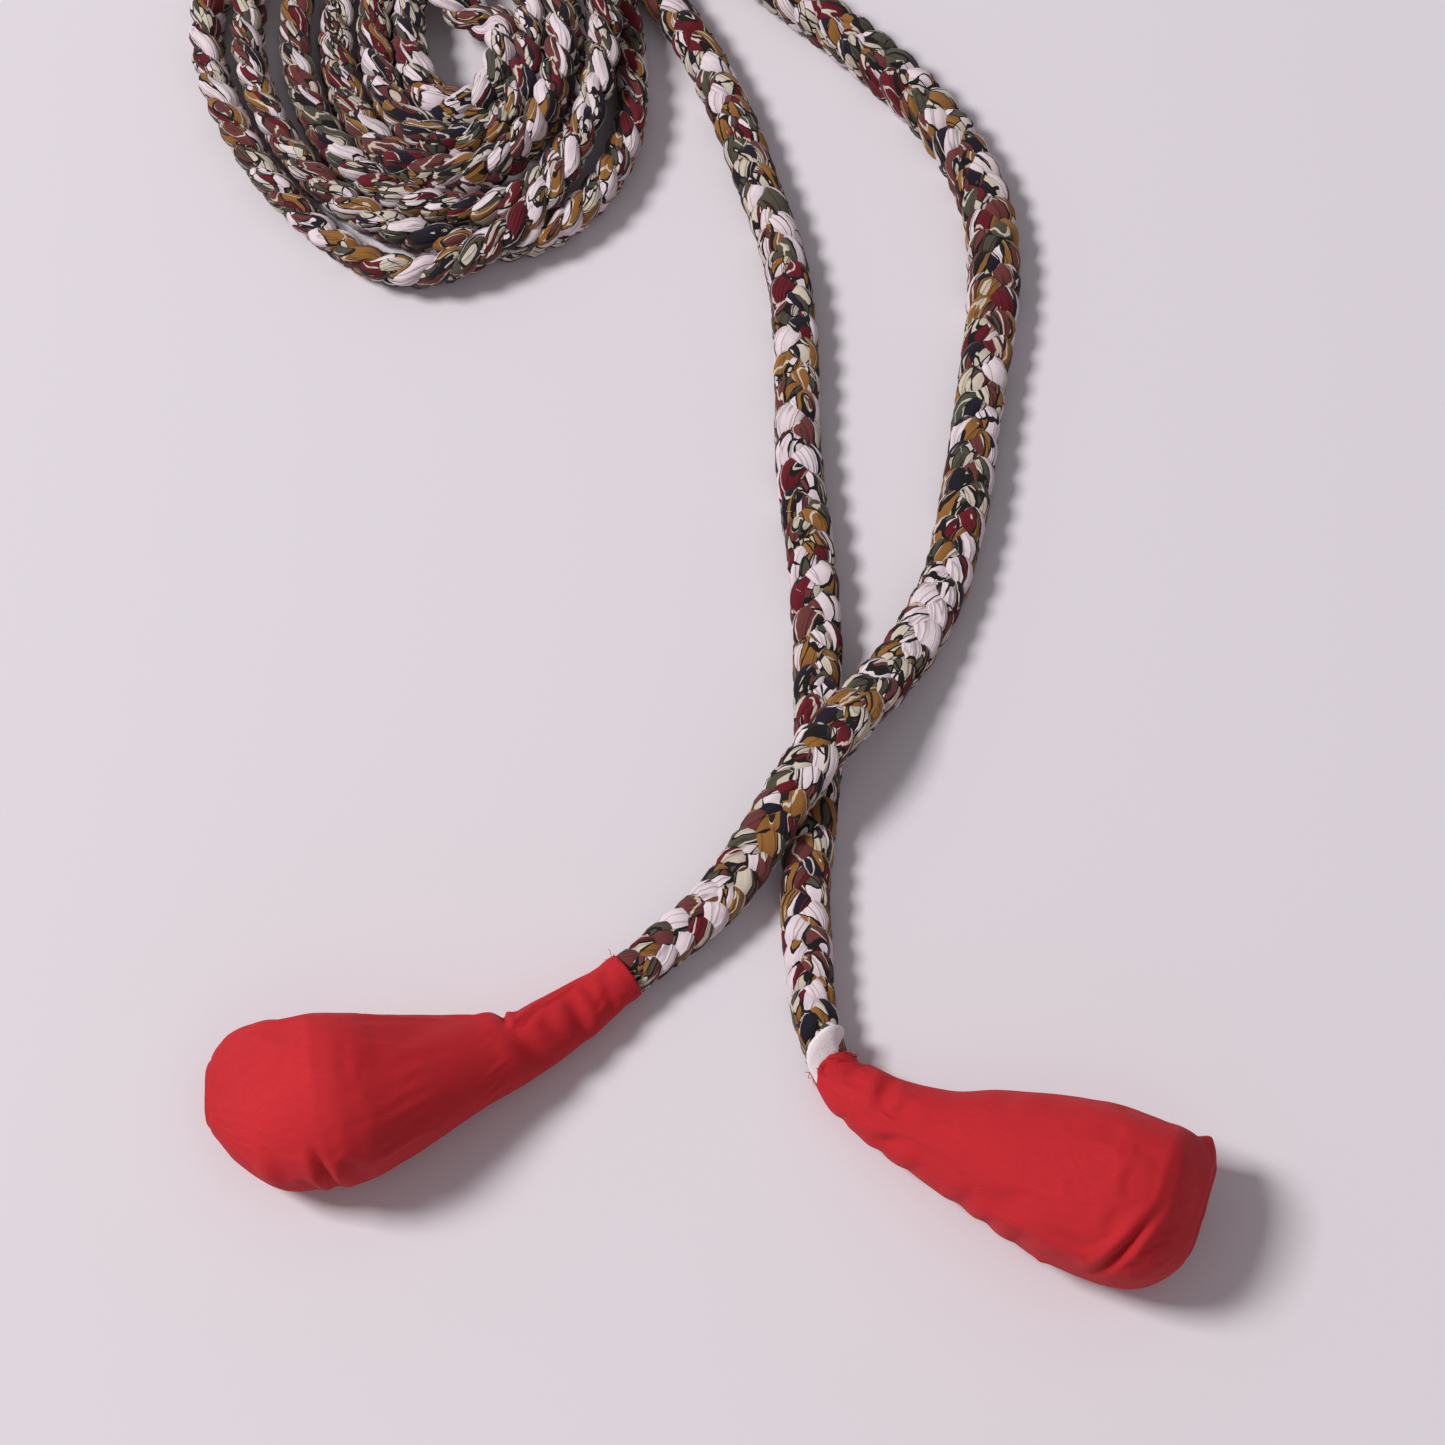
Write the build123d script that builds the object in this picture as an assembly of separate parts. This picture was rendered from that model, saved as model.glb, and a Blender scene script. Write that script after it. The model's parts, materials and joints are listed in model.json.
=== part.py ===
from build123d import *
import math
import os

# A soft skipping rope, laid down on a flat surface: a three-strand plait of cotton
# strips, its middle wound in a loose coil, with a stuffed cloth handle sewn round each
# end. Millimetres, +Z up, the surface at z = 0. The origin lies under the middle of the
# two handles. The cover of a handle is one cloth bag. Its narrow part is the sleeve that
# grips the plait, and it folds where the stuffing begins, so the sleeve and the stuffed
# part of the cover are two solids that meet at that fold.

# ---- the plait ----
ROPE_DIAMETER = 13.5
NECK_DIAMETER = 11.8        # where the stitches draw the plait in
NECK_TAPER = 12.0           # length over which it narrows to that
BEND_SHARE = 0.45           # of the shorter run beside a corner, taken up by its bend

# ---- the handles' cloth ----
CLOTH = 0.8                 # the cover's cloth with its turned edge
SLIP = 0.3                  # running clearance, and the air round what lies in the cloth
SWING_LIMIT = 30.0          # degrees each way at the mouth, which flares to allow it
FOLD_GAP = 0.4              # between the two solids of the cover, at the fold
REST_DEPTH = 0.9            # how far a full belly is pressed flat where it lies

# ---- the plait's end in the sleeve ----
END_SPACE = 12.0            # from the end of the plait to the fold
BINDING_WIRE = 0.8          # thickness of the binding thread
BINDING_SLACK = 0.1         # round the plait, and between two turns
BINDING_TURNS = 5
TAIL_LENGTH = 7.0           # the loose ends of the three strands
TAIL_SPREAD = 6.0           # degrees outwards
STRANDS = 3

# ---- thread ----
THREAD = 0.7
STITCH_LENGTH = 2.8
STITCH_PITCH = 4.6
STITCH_SUNK = 0.15          # how deep a stitch lies in the cloth
NECK_STITCH_STATION = 6.5   # from the mouth
NECK_STITCHES = 12
SEAM_MARGIN = 4.0           # from a stitch row's end to the fold, the mouth or the end

# ---- the coil ----
COIL_HEIGHT_WEST = 14.0     # one layer of turns
COIL_HEIGHT_EAST = 22.0     # two layers, settled into each other
COIL_OUTLINE = [(-161, 348), (-139, 289), (-92, 259), (-48, 269), (-16, 333),
                (-38, 398), (-90, 426), (-141, 402)]
COIL_EYE_CENTRE = (-78, 350)
COIL_EYE_WIDTH = 17.0
COIL_EYE_LENGTH = 30.0
COIL_ROUNDING = 6.0

# ---- what follows from these ----
FLARE_RADIUS = NECK_DIAMETER / 2 / math.cos(math.radians(SWING_LIMIT)) + SLIP
MOUTH_RADIUS = FLARE_RADIUS + CLOTH
NECK_HEIGHT = MOUTH_RADIUS + THREAD     # of the plait's middle: stitches fit under it

# Each handle from its mouth to its closed end. The spine runs along the surface. A
# section is a station along the spine, and how much wider and how much higher the cover
# is there than at its mouth.
HANDLES = {
    "left": {
        "mouth": (-22.3, 44.7), "heading": 217.0, "fold": 38.0, "seam_side": 1,
        "spine": [(-54.0, 21.0), (-69.0, 14.8), (-89.0, 8.6), (-110.0, 5.0), (-143.0, 3.4)],
        "sections": [(0, 0, 0), (7, 0, 0), (16, 1, 0), (28, 4, 2.5), (38, 7, 5),
                     (55, 14, 12), (75, 24, 20.5), (90, 31, 26.5), (100, 32.5, 28),
                     (109, 32, 27.5), (116, 29.5, 24.5), (121, 24.5, 17), (125, 19, 6),
                     (129, 15, -13.4)],
    },
    "right": {
        "mouth": (34.2, 19.2), "heading": -70.0, "fold": 27.0, "seam_side": -1,
        "spine": [(42.8, 8.0), (51.5, 2.2), (62.5, -3.0), (75.5, -8.8), (104.0, -20.8),
                  (136.0, -31.6)],
        "sections": [(0, 0, 0), (7, 0, 0), (14, 1.5, 0.5), (27, 6, 4), (38, 11, 9),
                     (51, 18, 15), (66, 26, 22.5), (82, 31.5, 27), (96, 32.5, 27.5),
                     (105, 31, 18), (111, 29.5, 2), (114.5, 29.5, -13.4)],
    },
}

# The plait's way from each handle to the coil, after its straight neck.
ROUTES = {
    "left": {
        "heading": 37.0,
        "points": [(-1, 62.5, 8.6), (8, 72.5, 9.2), (17, 86, 13), (26.5, 100.2, 22),
                   (37.1, 114.8, 22), (47.5, 128, 13.5), (60, 145, 8.5),
                   (71, 168, 6.75), (77, 198, 6.75), (81.5, 229, 6.75),
                   (86.5, 260, 6.75), (86, 288, 6.75), (76, 314, 6.75),
                   (56, 338, 6.75), (31, 360, 6.75), (5, 380, 7.5), (-20, 393, 11),
                   (-45, 400, 13)],
    },
    "right": {
        "heading": 110.0,
        "points": [(28.8, 47, 7.5), (27.5, 73.5, 6.75), (31.5, 100, 6.75),
                   (32.5, 134, 6.75), (31, 172, 6.75), (26.5, 205, 6.75),
                   (26.8, 238, 6.75), (25, 268, 6.75), (16, 296, 6.75),
                   (8.5, 320, 6.75), (-0.5, 341, 6.75), (-12, 361, 8),
                   (-28, 382, 12)],
    },
}

UPRIGHT = (Align.CENTER, Align.CENTER, Align.MIN)


def heading_vector(degrees):
    return Vector(math.cos(math.radians(degrees)), math.sin(math.radians(degrees)), 0)


def above(z):
    """All the room over a height, to flatten what rests there."""
    return Pos(0, 0, z) * Box(800, 800, 200, align=UPRIGHT)


def inset(rows, wall):
    """The same sections one wall further in, square to the cover's outline in height."""
    inner = []
    for before, (station, width, height, middle), after in zip(rows, rows[1:], rows[2:]):
        slope = (after[2] - before[2]) / 2 / (after[0] - before[0])
        stretch = math.hypot(1, slope)
        inner.append((station + wall * slope / stretch, width - 2 * wall,
                      height - 2 * wall / stretch, middle))
    station, width, height, middle = rows[-1]
    inner.append((station - 1.5 * wall, width - 4 * wall, height / 2, middle))
    return inner


class Handle:
    """One cloth bag, from its mouth on the plait to its closed end."""

    def __init__(self, mouth, heading, spine, sections, fold, seam_side):
        self.fold = fold
        self.seam_side = seam_side
        self.wire = self.spine_wire(Vector(*mouth, 0), heading_vector(heading), spine)
        self.rows = self.section_rows(sections)
        self.skin = self.loft(self.rows) & above(0)

    def spine_wire(self, start, ahead, points):
        """Straight where the plait's rounded end turns in the mouth, then one curve."""
        straight_end = start + ahead * NECK_DIAMETER / 2
        end_direction = Vector(*points[-1]) - Vector(*points[-2])
        bend = Spline(straight_end, *points, tangents=[ahead, end_direction.normalized()])
        return Wire([Line(start, straight_end), bend])

    def section_rows(self, sections):
        """Station, width, height and middle: a full belly is pressed flat on the
        surface, and from there on the bag closes towards the belly's middle."""
        fullest = max(added for _, _, added in sections)
        rows = []
        closing = False
        for station, wider, higher in sections:
            height = 2 * MOUTH_RADIUS + higher
            if not closing:
                pressed = REST_DEPTH + THREAD
                middle = NECK_HEIGHT + higher / 2 - pressed * max(higher, 0) / fullest
            rows.append((station, 2 * MOUTH_RADIUS + wider, height, middle))
            closing = closing or higher == fullest
        return rows

    def plane(self, station, height):
        """Upright plane across the spine. Its x axis is level, its normal points on."""
        place = self.wire.position_at(station, position_mode=PositionMode.LENGTH)
        ahead = self.wire.tangent_at(station, position_mode=PositionMode.LENGTH)
        level = ahead.cross(Vector(0, 0, 1))
        return Plane(origin=Vector(place.X, place.Y, height), x_dir=level, z_dir=ahead)

    def loft(self, rows):
        return loft([self.plane(station, middle) * Ellipse(width / 2, height / 2)
                     for station, width, height, middle in rows])

    def beyond(self, station):
        """All the room past the upright plane across the spine at a station."""
        return self.plane(station, 0) * Box(400, 400, 400, align=UPRIGHT)

    def middle_at(self, station):
        """Height of the bag's middle at a station."""
        for (s0, _, _, m0), (s1, _, _, m1) in zip(self.rows, self.rows[1:]):
            if station <= s1:
                return m0 + (m1 - m0) * (station - s0) / (s1 - s0)
        return self.rows[-1][3]

    def cover(self):
        """The bag's cloth, open at the mouth, with a flare that lets the plait swing."""
        radius = NECK_DIAMETER / 2
        grip = radius + SLIP
        flare_depth = radius * math.sin(math.radians(SWING_LIMIT)) + SLIP
        mouth = self.plane(0, NECK_HEIGHT)
        bore = mouth * Cylinder(grip, radius, align=UPRIGHT)
        flare = mouth * Cone(FLARE_RADIUS, grip, flare_depth, align=UPRIGHT)
        room_start = (radius - SLIP / 2, 2 * grip, 2 * grip, NECK_HEIGHT)
        room = self.loft([room_start] + inset(self.rows, CLOTH)) & above(CLOTH)
        return self.skin - room - bore - flare

    def sleeve(self):
        return self.cover() - self.beyond(self.fold - FOLD_GAP / 2)

    def stuffed_cover(self):
        return self.cover() & self.beyond(self.fold + FOLD_GAP / 2)

    def stuffing(self):
        """The wadding that fills the bag past the fold."""
        wall = CLOTH + SLIP
        filling = self.loft(inset(self.rows, wall)) & above(wall)
        return filling & self.beyond(self.fold + FOLD_GAP / 2 + SLIP)

    def plait_stop(self):
        return self.fold - END_SPACE

    def plait_end(self):
        """The plait's last stretch, held in the sleeve by the neck stitches."""
        start = NECK_DIAMETER / 2 + SLIP
        stations = [start + share * (self.plait_stop() - start)
                    for share in (0, 1 / 3, 2 / 3, 1)]
        return self.loft([(station, NECK_DIAMETER, NECK_DIAMETER, NECK_HEIGHT)
                          for station in stations])

    def end_binding(self):
        """Turns of thread round the plait's end, which keep it from coming undone."""
        pitch = BINDING_WIRE + BINDING_SLACK
        ring = Torus(NECK_DIAMETER / 2 + BINDING_SLACK + BINDING_WIRE / 2, BINDING_WIRE / 2)
        turns = [self.plane(self.plait_stop() - pitch * (i + 1), NECK_HEIGHT) * ring
                 for i in range(BINDING_TURNS)]
        return Compound(children=[turn.solid() for turn in turns])

    def strand_tails(self):
        """The strands' loose ends past the binding, splayed a little."""
        root, tip = NECK_DIAMETER / 5, NECK_DIAMETER / 8
        circle = NECK_DIAMETER / 2 - root - SLIP
        face = self.plane(self.plait_stop() + SLIP, NECK_HEIGHT)
        tail = Pos(circle, 0, SLIP) * Rot(0, TAIL_SPREAD, 0) * Cone(
            root, tip, TAIL_LENGTH, align=UPRIGHT)
        tails = [face * Rot(0, 0, 90 + i * 360 / STRANDS) * tail for i in range(STRANDS)]
        return Compound(children=[tail.solid() for tail in tails])

    def surface_point(self, origin, direction):
        """Where a ray from inside the bag leaves it."""
        axis = Axis(origin, direction)
        hits = [point for face in self.skin.faces()
                for point, _ in face.find_intersection_points(axis)]
        return max(hits, key=lambda point: (point - origin).dot(direction))

    def neck_stitches(self):
        """A round of stitches through the sleeve and the plait."""
        plane = self.plane(NECK_STITCH_STATION, NECK_HEIGHT)
        stitches = []
        for i in range(NECK_STITCHES):
            angle = (i + 0.5) * 2 * math.pi / NECK_STITCHES
            outwards = plane.x_dir * math.cos(angle) + plane.y_dir * math.sin(angle)
            along = plane.y_dir * math.cos(angle) - plane.x_dir * math.sin(angle)
            place = self.surface_point(plane.origin, outwards)
            stitches.append(stitch(place, along, outwards))
        return Compound(children=stitches)

    def seam_between(self, start, stop):
        """Stitches along the bag's long seam, halfway up one side."""
        count = max(1, int((stop - start) / STITCH_PITCH))
        stitches = []
        for i in range(count):
            station = start + (i + 0.5) * (stop - start) / count
            plane = self.plane(station, self.middle_at(station))
            outwards = plane.x_dir * self.seam_side
            place = self.surface_point(plane.origin, outwards)
            stitches.append(stitch(place, plane.z_dir, outwards))
        return Compound(children=stitches)

    def sleeve_seam(self):
        return self.seam_between(NECK_STITCH_STATION + SEAM_MARGIN, self.fold - SEAM_MARGIN)

    def side_seam(self):
        belly = max(self.rows, key=lambda row: row[2])
        return self.seam_between(self.fold + SEAM_MARGIN, belly[0] + SEAM_MARGIN)

    def end_seam(self):
        """Stitches over the closed edge at the bag's wide end."""
        station, width, _, middle = self.rows[-1]
        plane = self.plane(station, middle)
        row_length = width - 2 * SEAM_MARGIN
        count = int(row_length / STITCH_PITCH)
        stitches = []
        for i in range(count):
            across = plane.x_dir * ((i + 0.5) / count - 0.5) * row_length
            place = plane.origin + across
            stitches.append(stitch(place, Vector(0, 0, 1), plane.z_dir))
        return Compound(children=stitches)

    def pieces(self, side):
        """Every piece of this handle, by name."""
        return {
            f"{side}_neck_sleeve": self.sleeve(),
            f"{side}_handle_cover": self.stuffed_cover(),
            f"{side}_handle_stuffing": self.stuffing(),
            f"{side}_plait_end": self.plait_end(),
            f"{side}_end_binding": self.end_binding(),
            f"{side}_strand_tails": self.strand_tails(),
            f"{side}_neck_stitches": self.neck_stitches(),
            f"{side}_sleeve_seam": self.sleeve_seam(),
            f"{side}_side_seam": self.side_seam(),
            f"{side}_end_seam": self.end_seam(),
        }


def stitch(place, along, outwards):
    """One short stitch, lying along the seam and a little sunk in the cloth."""
    middle = place + outwards * (THREAD / 2 - STITCH_SUNK)
    bar = Cylinder(THREAD / 2, STITCH_LENGTH)
    return (Plane(origin=middle, x_dir=outwards, z_dir=along) * bar).solid()


def rope_run(name, mouth, heading, points):
    """The plait from its rounded end in a handle's mouth to the coil, as a plain tube."""
    start = Vector(*mouth, NECK_HEIGHT)
    out = heading_vector(heading)
    neck_end = start + out * NECK_TAPER
    corners = [neck_end] + [Vector(*point) for point in points]
    radii = []
    for before, corner, after in zip(corners, corners[1:], corners[2:]):
        turn = (corner - before).get_angle(after - corner)
        shorter = min((corner - before).length, (after - corner).length)
        radii.append(BEND_SHARE * shorter / math.tan(math.radians(turn) / 2))
    path = FilletPolyline(*corners, radius=radii)
    radius = ROPE_DIAMETER / 2
    tube = sweep(Plane(origin=neck_end, z_dir=corners[1] - neck_end) * Circle(radius),
                 path=path)
    whole = math.pi * radius ** 2 * path.length
    print(f"{name}: {path.length:.0f} mm, bend radii {min(radii):.0f} to {max(radii):.0f} "
          f"mm, volume over section times length {tube.volume / whole:.4f}")
    neck = Plane(origin=start, z_dir=out) * Cone(
        NECK_DIAMETER / 2, radius, NECK_TAPER, align=UPRIGHT)
    knuckle = Pos(*neck_end) * Sphere(radius)
    rounded_end = Pos(*start) * Sphere(NECK_DIAMETER / 2)
    return tube + knuckle + neck + rounded_end


def rope_coil():
    """The outer shape of the coiled turns, two layers deep to the east, with its eye."""
    outline = make_face(Spline(*COIL_OUTLINE, periodic=True))
    west = min(x for x, _ in COIL_OUTLINE)
    east = max(x for x, _ in COIL_OUTLINE)
    slope = math.degrees(math.atan2(COIL_HEIGHT_EAST - COIL_HEIGHT_WEST, east - west))
    over = Pos(west, COIL_EYE_CENTRE[1], COIL_HEIGHT_WEST) * Rot(0, -slope, 0) * Box(
        600, 600, 100, align=UPRIGHT)
    block = extrude(outline, 2 * COIL_HEIGHT_EAST) - over
    block = fillet(block.edges(), COIL_ROUNDING)
    eye = Pos(*COIL_EYE_CENTRE) * Ellipse(COIL_EYE_WIDTH / 2, COIL_EYE_LENGTH / 2)
    return block - extrude(eye, 2 * COIL_HEIGHT_EAST)


pieces = {"rope_coil": rope_coil()}
for side, size in HANDLES.items():
    name = f"{side}_rope_run"
    pieces[name] = rope_run(name, size["mouth"], **ROUTES[side])
    pieces.update(Handle(**size).pieces(side))

os.makedirs("parts", exist_ok=True)
for name, piece in pieces.items():
    export_step(piece, f"parts/{name}.step")
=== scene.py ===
import json
import math

import bpy
import numpy as np
from mathutils import Matrix, Vector, noise


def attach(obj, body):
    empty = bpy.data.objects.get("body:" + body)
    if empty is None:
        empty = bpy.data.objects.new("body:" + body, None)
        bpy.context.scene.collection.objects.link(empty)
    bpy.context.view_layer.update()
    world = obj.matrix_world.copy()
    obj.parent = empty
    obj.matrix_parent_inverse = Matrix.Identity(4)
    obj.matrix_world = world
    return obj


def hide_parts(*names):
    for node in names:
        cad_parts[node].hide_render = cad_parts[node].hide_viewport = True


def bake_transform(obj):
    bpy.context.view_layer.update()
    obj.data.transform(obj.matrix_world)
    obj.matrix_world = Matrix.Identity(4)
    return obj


# A cloth skipping rope lying on a table: a three-strand plait of rolled printed cotton,
# wound in a loose coil, with a stuffed red cotton handle at each end.

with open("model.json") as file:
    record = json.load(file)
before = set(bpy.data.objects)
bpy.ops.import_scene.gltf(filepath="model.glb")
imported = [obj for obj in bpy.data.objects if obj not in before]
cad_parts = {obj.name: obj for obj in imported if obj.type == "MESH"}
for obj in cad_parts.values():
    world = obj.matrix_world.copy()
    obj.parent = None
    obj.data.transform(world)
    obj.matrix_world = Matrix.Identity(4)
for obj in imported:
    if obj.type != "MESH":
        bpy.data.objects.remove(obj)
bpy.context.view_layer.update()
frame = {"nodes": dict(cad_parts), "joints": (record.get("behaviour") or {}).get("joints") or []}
mm = 0.001
pleatCount = 3                  # of the rolled strip, round a strand


def linear(hexColour):
    channels = [int(hexColour[i:i + 2], 16) / 255 for i in (1, 3, 5)]
    return [c / 12.92 if c <= 0.04045 else ((c + 0.055) / 1.055) ** 2.4 for c in channels] + [1]


def addNode(tree, kind, inputs=None, **settings):
    # inputs are numbers, nodes (their first output) or sockets, by socket name or number
    node = tree.nodes.new(kind)
    for key, value in settings.items():
        setattr(node, key, value)
    for key, value in (inputs or {}).items():
        if isinstance(value, bpy.types.Node):
            value = value.outputs[0]
        if isinstance(value, bpy.types.NodeSocket):
            tree.links.new(value, node.inputs[key])
        else:
            node.inputs[key].default_value = value
    return node


def newMaterial(name):
    material = bpy.data.materials.new(name)
    material.use_nodes = True
    material.node_tree.nodes.clear()
    return material, material.node_tree


def newObject(name, data):
    piece = bpy.data.objects.new(name, data)
    bpy.context.scene.collection.objects.link(piece)
    return piece


def meshObject(name, vertices, faces, material=None, edges=()):
    mesh = bpy.data.meshes.new(name)
    mesh.from_pydata([tuple(v) for v in vertices], edges, faces)
    mesh.update()
    if material:
        mesh.materials.append(material)
    mesh.polygons.foreach_set("use_smooth", [True] * len(mesh.polygons))
    return newObject(name, mesh)


def lineObject(name, points):
    return meshObject(name, points, [], edges=[(i, i + 1) for i in range(len(points) - 1)])


def storeNumbers(piece, name, values):
    piece.data.attributes.new(name, "FLOAT", "POINT").data.foreach_set("value", values)


def storeVectors(piece, name, values):
    attribute = piece.data.attributes.new(name, "FLOAT_VECTOR", "POINT")
    attribute.data.foreach_set("vector", values.ravel())


def applied(piece):
    # the evaluated mesh in place of the modifiers
    graph = bpy.context.evaluated_depsgraph_get()
    mesh = bpy.data.meshes.new_from_object(piece.evaluated_get(graph), depsgraph=graph)
    piece.modifiers.clear()
    piece.data = mesh
    return piece


def runTree(piece, tree, values):
    # a Geometry Nodes tree on a piece, its inputs set by their sockets' identifiers
    modifier = piece.modifiers.new(tree.name, "NODES")
    modifier.node_group = tree
    for item in tree.interface.items_tree:
        if item.item_type == "SOCKET" and item.in_out == "INPUT" and item.name in values:
            modifier[item.identifier] = values[item.name]
    return applied(piece)


def newTree(name, sockets):
    tree = bpy.data.node_groups.new(name, "GeometryNodeTree")
    tree.interface.new_socket("Geometry", in_out="INPUT", socket_type="NodeSocketGeometry")
    for label, kind in sockets:
        tree.interface.new_socket(label, in_out="INPUT", socket_type="NodeSocket" + kind)
    tree.interface.new_socket("Geometry", in_out="OUTPUT", socket_type="NodeSocketGeometry")
    source = tree.nodes.new("NodeGroupInput")
    result = tree.nodes.new("NodeGroupOutput")
    return tree, source, result


def smoothStep(low, high, value):
    t = np.clip((value - low) / (high - low), 0, 1)
    return t * t * (3 - 2 * t)


def unit(vectors):
    return vectors / np.linalg.norm(vectors, axis=1)[:, None]


# high over the rope, looking down and a little along it, in mm and degrees
cameraView = {"target": (4.5, 124.5, 0), "elevation": 68, "distance": 1232.7, "lens": 105.955}


def makeCamera(view):
    tilt = math.radians(view["elevation"])
    aim = Vector(view["target"])
    place = aim + view["distance"] * Vector((0, -math.cos(tilt), math.sin(tilt)))
    data = bpy.data.cameras.new("camera")
    data.lens = view["lens"]
    data.sensor_width = 36
    data.clip_end = 20
    camera = newObject("camera", data)
    camera.location = place * mm
    camera.rotation_euler = (math.pi / 2 - tilt, 0, 0)
    bpy.context.scene.camera = camera


makeCamera(cameraView)
bpy.context.scene.view_settings.view_transform = "Standard"

studio = {
    "floorColour": "#dcd5da", "floorSize": 6.0,
    "keyPlace": (-3.18, 0.56, 3.83), "keySize": 1.25, "keyPower": 226.0,
    "fillPlace": (0.9, -0.7, 1.6), "fillSize": 1.6, "fillPower": 2.0,
    "lampTarget": (0, 0.12, 0), "worldColour": "#e2dee4", "worldStrength": 0.36,
}


def makeStudio(look):
    half = look["floorSize"] / 2
    floor = meshObject("floor", [(-half, -half, 0), (half, -half, 0), (half, half, 0),
                                 (-half, half, 0)], [(0, 1, 2, 3)])
    material, tree = newMaterial("pale table cloth")
    shader = addNode(tree, "ShaderNodeBsdfPrincipled", {
        "Base Color": linear(look["floorColour"]), "Roughness": 0.95,
        "Specular IOR Level": 0.15})
    addNode(tree, "ShaderNodeOutputMaterial", {"Surface": shader})
    floor.data.materials.append(material)
    for name in ("key", "fill"):
        lamp = bpy.data.lights.new(name, "AREA")
        lamp.size = look[name + "Size"]
        lamp.energy = look[name + "Power"]
        light = newObject(name, lamp)
        light.location = look[name + "Place"]
        aim = Vector(look["lampTarget"]) - light.location
        light.rotation_euler = aim.to_track_quat("-Z", "Y").to_euler()
    world = bpy.data.worlds.new("studio")
    bpy.context.scene.world = world
    world.use_nodes = True
    background = world.node_tree.nodes["Background"]
    background.inputs["Color"].default_value = linear(look["worldColour"])
    background.inputs["Strength"].default_value = look["worldStrength"]


makeStudio(studio)
print("camera and studio made")

# The rope's route in millimetres: from the right handle to the coil, round the coil's
# outside, its turns, over the top of them, and to the left handle.
rightRun = [(34.2, 19.2, 8.2), (30.2, 30.2, 7.5), (28.8, 47, 6.6), (27.5, 73.5, 6.2),
            (31.5, 100, 6.2), (32.5, 134, 6.2), (31, 172, 6.2), (26.5, 205, 6.2),
            (26.8, 238, 6.2), (25, 268, 6.2), (16, 296, 6.2), (8.5, 320, 6.2),
            (-0.5, 341, 6.4), (-12, 361, 7)]
leftRun = [(31, 360, 6.5), (56, 338, 6.3), (76, 314, 6.3), (86, 288, 6.3),
           (86.5, 260, 6.3), (81.5, 229, 6.3), (77, 198, 6.3), (71, 168, 6.3),
           (60, 145, 7.5), (47.5, 128, 12.5), (37.1, 114.8, 19.5), (26.5, 100.2, 19.5),
           (17, 86, 12.5), (8, 72.5, 8.6), (-1, 62.5, 8.2), (-13, 52.2, 8.2),
           (-22.3, 44.7, 8.2)]
outerArc = [(-31, 388, 7), (-54, 408, 7), (-83, 421, 7), (-113, 416, 7), (-138, 398, 7),
            (-152, 373, 7)]
overTop = [(-68, 352, 11), (-77, 357, 12), (-83, 366, 16), (-86, 380, 21), (-78, 395, 26),
           (-55, 404, 27), (-26, 400, 21), (5, 381, 10)]

# The coil's turns by quarter turns, from its west side, counterclockwise.
coilTurns = {
    "quarters": 22, "pointsPerQuarter": 3,
    "west": [-156, -144, -129, -116, -104, -93], "south": [264, 277, 287, 297, 308, 320],
    "east": [-30, -23, -37, -43, -53, -61], "north": [425, 415, 405, 396, 388, 378],
    "southwestBulge": [0.85, 0.91, 0.95, 1, 1, 1],
    "southeastBulge": [1, 1.22, 1.15, 1.05, 1.05, 1.05],
    "heights": [7, 7, 17.6, 17, 7, 7, 7, 7, 7, 7, 9, 8, 7, 11, 18, 14, 8, 11, 13, 9, 9, 12, 12],
}


def coilPoints(coil):
    def side(name, turns):
        return float(np.interp(turns, range(len(coil[name])), coil[name]))

    points = []
    for step in range(coil["quarters"] * coil["pointsPerQuarter"] + 1):
        quarter = step / coil["pointsPerQuarter"]
        turn = min(int(quarter // 4), len(coil["west"]) - 1)
        west, south = side("west", quarter / 4), side("south", (quarter - 1) / 4)
        east, north = side("east", (quarter - 2) / 4), side("north", (quarter - 3) / 4)
        bulges = {0: coil["southwestBulge"][turn], 1: coil["southeastBulge"][turn]}
        bulge = bulges.get(int(quarter % 4), 1)
        reach = 1 + (bulge - 1) * math.sin(math.pi * (quarter % 1)) ** 2
        angle = math.pi * quarter / 2
        points.append(((west + east) / 2 - (east - west) / 2 * math.cos(angle) * reach,
                       (south + north) / 2 - (north - south) / 2 * math.sin(angle) * reach,
                       side("heights", quarter)))
    return points


def ropeLine():
    points = rightRun + outerArc + coilPoints(coilTurns) + overTop + leftRun
    curve = bpy.data.curves.new("rope line", "CURVE")
    curve.dimensions = "3D"
    spline = curve.splines.new("NURBS")
    spline.points.add(len(points) - 1)
    for point, place in zip(spline.points, points):
        point.co = (place[0] * mm, place[1] * mm, place[2] * mm, 1)
    spline.order_u = 3
    spline.use_endpoint_u = True
    spline.resolution_u = 12
    bare = newObject("rope line", curve)
    graph = bpy.context.evaluated_depsgraph_get()
    mesh = bpy.data.meshes.new_from_object(bare.evaluated_get(graph))
    line = np.array([v.co[:] for v in mesh.vertices])
    bpy.data.objects.remove(bare)
    gaps = np.linalg.norm(np.diff(line, axis=0), axis=1)
    return line[np.concatenate([[True], gaps > 0.0001])]


ropePath = ropeLine()

printColours = {
    "white": "#dccbd0", "cream": "#c6b9a8", "ochre": "#8d5e2a", "rust": "#66312f",
    "darkRed": "#620c1b", "navy": "#181124", "olive": "#4b473b", "outline": "#15100f",
}
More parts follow.
